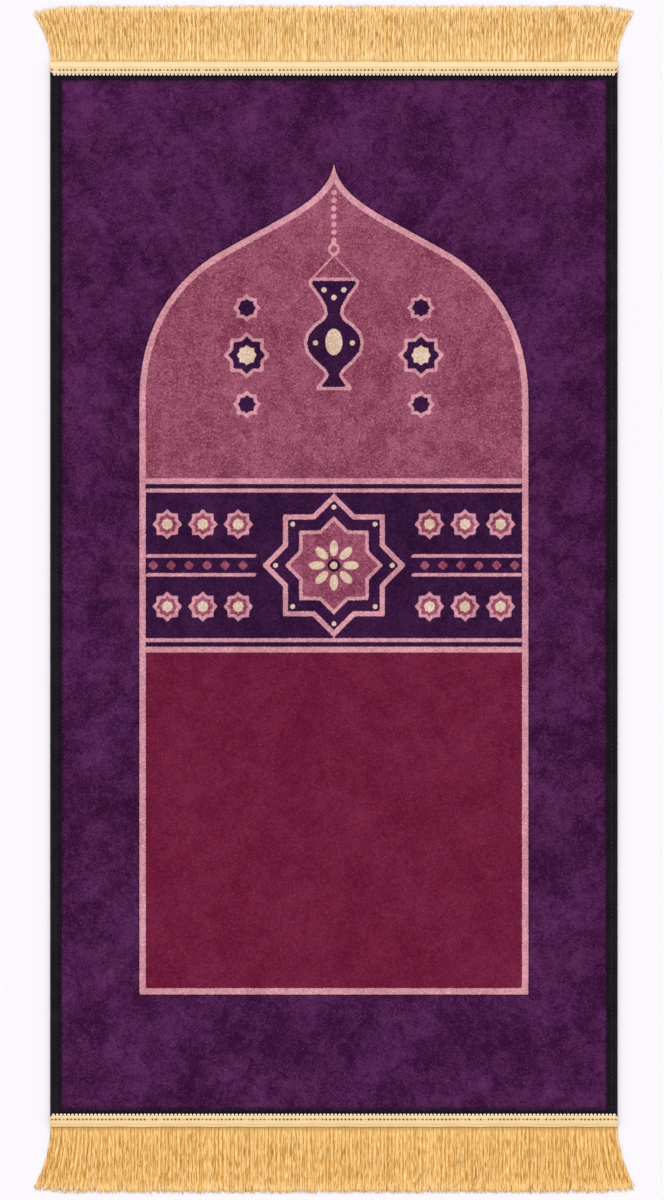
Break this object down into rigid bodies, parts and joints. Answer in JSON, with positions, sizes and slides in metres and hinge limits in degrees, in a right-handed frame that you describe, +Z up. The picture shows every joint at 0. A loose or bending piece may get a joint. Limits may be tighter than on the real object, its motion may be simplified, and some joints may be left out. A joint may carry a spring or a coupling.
{
  "type": "prayer rug",
  "caption": "Flat rectangular pile prayer rug with a folded tape binding on its edges and a fringe trim sewn over each end.",
  "frame": {"origin": "on the surface that the rug lies on, under the middle of its whole outline with both fringes", "axes": "+X across the rug to the right, +Y along it to the head end that the arch points to, +Z up from the floor"},
  "size_m": [0.6284, 1.2526, 0.006],
  "materials": {
    "pile_cloth": "short dense pile, mottled purple with a printed arch in rose and wine, soft sheen",
    "binding_tape": "black woven tape, matt",
    "fringe_yarn": "gold twisted yarn, satin"
  },
  "bodies": {
    "root": {"rug_cloth": "pile_cloth", "binding_left": "binding_tape", "binding_right": "binding_tape", "binding_head_end": "binding_tape", "binding_foot_end": "binding_tape", "fringe_head_end": "fringe_yarn", "fringe_foot_end": "fringe_yarn"}
  },
  "joints": []
}
